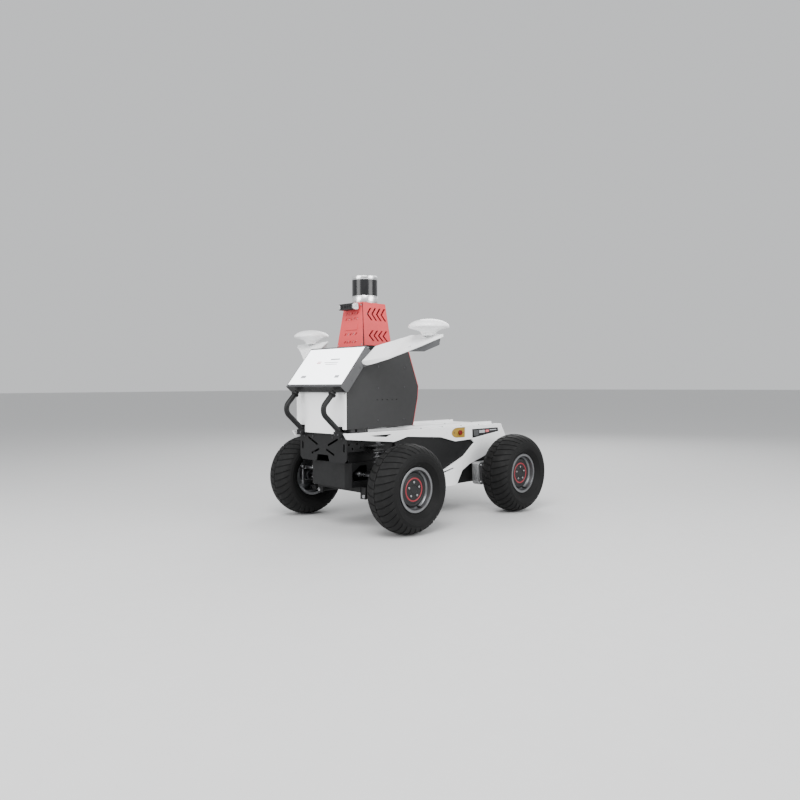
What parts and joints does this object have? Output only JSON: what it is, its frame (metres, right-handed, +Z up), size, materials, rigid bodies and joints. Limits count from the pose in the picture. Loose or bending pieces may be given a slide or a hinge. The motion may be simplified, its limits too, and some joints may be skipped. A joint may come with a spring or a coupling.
{
  "type": "four wheel robot chassis",
  "caption": "Steered four wheel robot chassis with sprung front arms, balloon tyres, a flat rear deck with mounting rails, and a computer case with screen, lidar mast and antenna arms.",
  "frame": {"origin": "on the ground, at the middle of the length and the width", "axes": "+X forward, towards the steered axle and the screen; +Y to the robot's left; +Z up"},
  "size_m": [1.0602, 0.856, 0.976],
  "materials": {
    "tyre": "matte rubber",
    "rim": "satin grey cast",
    "white_body": "satin white",
    "white_metal": "satin white powder coat",
    "dark_metal": "matte charcoal powder coat",
    "white_sheet": "satin white powder coat on aluminium sheet",
    "red_sheet": "satin red powder coat on aluminium sheet",
    "grey_sheet": "matte dark grey powder coat on aluminium sheet",
    "grey_plastic": "matte dark grey",
    "red_plastic": "gloss red",
    "yellow_plastic": "satin yellow",
    "black_plastic": "matte",
    "cast_silver": "cast, satin",
    "steel": "machined",
    "chrome": "polished",
    "screen_glass": "gloss glass over a white display",
    "lidar_window": "gloss black",
    "battery": "matte",
    "spring": "black powder coat"
  },
  "bodies": {
    "chassis": {"antenna_arms": "white_sheet", "antennas": "white_body", "axle_frame": "dark_metal", "battery_pack": "battery", "bumper_plate": "dark_metal", "case_front": "white_sheet", "case_shell": "grey_sheet", "case_sides": "grey_sheet", "case_trim": "red_sheet", "chassis_tub": "dark_metal", "coil_spring_left": "spring", "coil_spring_right": "spring", "damper_tubes": "dark_metal", "deck_plate": "white_metal", "deck_rails": "white_sheet", "depth_camera": "black_plastic", "drive_motors": "steel", "fasteners": "steel", "front_frame": "dark_metal", "front_housing": "dark_metal", "gearboxes": "cast_silver", "guard_tubes": "dark_metal", "industrial_computer": "black_plastic", "lidar_base": "cast_silver", "lidar_cap": "cast_silver", "lidar_window": "lidar_window", "motor_controller": "black_plastic", "rear_panel": "dark_metal", "screen_glass": "screen_glass", "screen_housing": "grey_plastic", "side_skirts": "white_body", "steering_actuator": "dark_metal", "stop_bezels": "yellow_plastic", "tower_frame": "red_sheet", "tower_sides": "red_sheet"},
    "lidar_rotor": {"lidar_rotor": "black_plastic"},
    "stop_button_left": {"stop_button_left": "red_plastic"},
    "stop_button_right": {"stop_button_right": "red_plastic"},
    "power_switch": {"power_switch": "black_plastic"},
    "steering_rack": {"steering_rack": "chrome"},
    "wheel_rear_left": {"wheel_rear_left": "rim", "tyre_rear_left": "tyre"},
    "wheel_rear_right": {"wheel_rear_right": "rim", "tyre_rear_right": "tyre"},
    "lower_arm_left": {"lower_arm_left": "dark_metal"},
    "upper_arm_left": {"upper_arm_left": "dark_metal"},
    "upright_left": {"upright_left": "steel"},
    "steering_knuckle_left": {"steering_knuckle_left": "steel"},
    "tie_rod_left": {"tie_rod_left": "chrome"},
    "damper_rod_left": {"damper_rod_left": "chrome"},
    "wheel_front_left": {"wheel_front_left": "rim", "tyre_front_left": "tyre"},
    "lower_arm_right": {"lower_arm_right": "dark_metal"},
    "upper_arm_right": {"upper_arm_right": "dark_metal"},
    "upright_right": {"upright_right": "steel"},
    "steering_knuckle_right": {"steering_knuckle_right": "steel"},
    "tie_rod_right": {"tie_rod_right": "chrome"},
    "damper_rod_right": {"damper_rod_right": "chrome"},
    "wheel_front_right": {"wheel_front_right": "rim", "tyre_front_right": "tyre"}
  },
  "joints": [
    {"name": "bump_left", "type": "hinge", "parent": "chassis", "child": "lower_arm_left", "pos_m": [0.284, 0.135, 0.125], "axis": [1, 0, 0], "range_deg": [0, 14], "stiffness_Nm_per_rad": 260, "springref_deg": -11.46},
    {"name": "upper_arm_pivot_left", "type": "hinge", "parent": "chassis", "child": "upper_arm_left", "pos_m": [0.258, 0.135, 0.205], "axis": [1, 0, 0], "range_deg": [-0.5, 14.5]},
    {"name": "upright_pivot_left", "type": "hinge", "parent": "lower_arm_left", "child": "upright_left", "pos_m": [0.284, 0.236, 0.125], "axis": [1, 0, 0], "range_deg": [-14.5, 0.5]},
    {"name": "steer_left", "type": "hinge", "parent": "upright_left", "child": "steering_knuckle_left", "pos_m": [0.284, 0.236, 0.165], "axis": [0, 0, 1], "range_deg": [-22, 22]},
    {"name": "wheel_spin_front_left", "type": "hinge", "parent": "steering_knuckle_left", "child": "wheel_front_left", "pos_m": [0.284, 0.3025, 0.165], "axis": [0, 1, 0], "continuous": true},
    {"name": "wheel_spin_rear_left", "type": "hinge", "parent": "chassis", "child": "wheel_rear_left", "pos_m": [-0.366, 0.3025, 0.165], "axis": [0, 1, 0], "continuous": true},
    {"name": "tie_rod_pivot_left", "type": "hinge", "parent": "steering_rack", "child": "tie_rod_left", "pos_m": [0.36, 0.125, 0.21], "axis": [1, 0, 0], "range_deg": [-0.5, 14.5]},
    {"name": "damper_slide_left", "type": "slide", "parent": "chassis", "child": "damper_rod_left", "axis": [0, 0, 1], "range_m": [-0.0005, 0.0138], "deforming": ["coil_spring_left"]},
    {"name": "stop_push_left", "type": "slide", "parent": "chassis", "child": "stop_button_left", "axis": [0, -1, 0], "range_m": [0, 0.004], "stiffness_N_per_m": 1500, "springref_m": -0.002},
    {"name": "bump_right", "type": "hinge", "parent": "chassis", "child": "lower_arm_right", "pos_m": [0.284, -0.135, 0.125], "axis": [-1, 0, 0], "range_deg": [0, 14], "stiffness_Nm_per_rad": 260, "springref_deg": -11.46},
    {"name": "upper_arm_pivot_right", "type": "hinge", "parent": "chassis", "child": "upper_arm_right", "pos_m": [0.258, -0.135, 0.205], "axis": [-1, 0, 0], "range_deg": [-0.5, 14.5]},
    {"name": "upright_pivot_right", "type": "hinge", "parent": "lower_arm_right", "child": "upright_right", "pos_m": [0.284, -0.236, 0.125], "axis": [-1, 0, 0], "range_deg": [-14.5, 0.5]},
    {"name": "steer_right", "type": "hinge", "parent": "upright_right", "child": "steering_knuckle_right", "pos_m": [0.284, -0.236, 0.165], "axis": [0, 0, 1], "range_deg": [-22.5, 22.5]},
    {"name": "wheel_spin_front_right", "type": "hinge", "parent": "steering_knuckle_right", "child": "wheel_front_right", "pos_m": [0.284, -0.3025, 0.165], "axis": [0, 1, 0], "continuous": true},
    {"name": "wheel_spin_rear_right", "type": "hinge", "parent": "chassis", "child": "wheel_rear_right", "pos_m": [-0.366, -0.3025, 0.165], "axis": [0, 1, 0], "continuous": true},
    {"name": "tie_rod_pivot_right", "type": "hinge", "parent": "steering_rack", "child": "tie_rod_right", "pos_m": [0.36, -0.125, 0.21], "axis": [-1, 0, 0], "range_deg": [-0.5, 14.5]},
    {"name": "damper_slide_right", "type": "slide", "parent": "chassis", "child": "damper_rod_right", "axis": [0, 0, 1], "range_m": [-0.0005, 0.0138], "deforming": ["coil_spring_right"]},
    {"name": "stop_push_right", "type": "slide", "parent": "chassis", "child": "stop_button_right", "axis": [0, 1, 0], "range_m": [0, 0.004], "stiffness_N_per_m": 1500, "springref_m": -0.002},
    {"name": "rack_slide", "type": "slide", "parent": "chassis", "child": "steering_rack", "axis": [0, 1, 0], "range_m": [-0.029, 0.029]},
    {"name": "lidar_spin", "type": "hinge", "parent": "chassis", "child": "lidar_rotor", "pos_m": [0.218, 0, 0.925], "axis": [0, 0, 1], "continuous": true},
    {"name": "power_rocker", "type": "hinge", "parent": "chassis", "child": "power_switch", "pos_m": [-0.442, 0.055, 0.29], "axis": [0, 1, 0], "range_deg": [-10, 10]}
  ],
  "couplings": [
    {"joint": "upper_arm_pivot_left", "follows": "bump_left", "ratio": 1},
    {"joint": "upright_pivot_left", "follows": "bump_left", "ratio": -1},
    {"joint": "tie_rod_pivot_left", "follows": "bump_left", "ratio": 1},
    {"joint": "damper_slide_left", "follows": "bump_left", "m_per_rad": 0.054431},
    {"joint": "upper_arm_pivot_right", "follows": "bump_right", "ratio": 1},
    {"joint": "upright_pivot_right", "follows": "bump_right", "ratio": -1},
    {"joint": "tie_rod_pivot_right", "follows": "bump_right", "ratio": 1},
    {"joint": "damper_slide_right", "follows": "bump_right", "m_per_rad": 0.054431},
    {"joint": "steer_right", "follows": "steer_left", "ratio": 1},
    {"joint": "rack_slide", "follows": "steer_left", "m_per_rad": 0.07415}
  ]
}
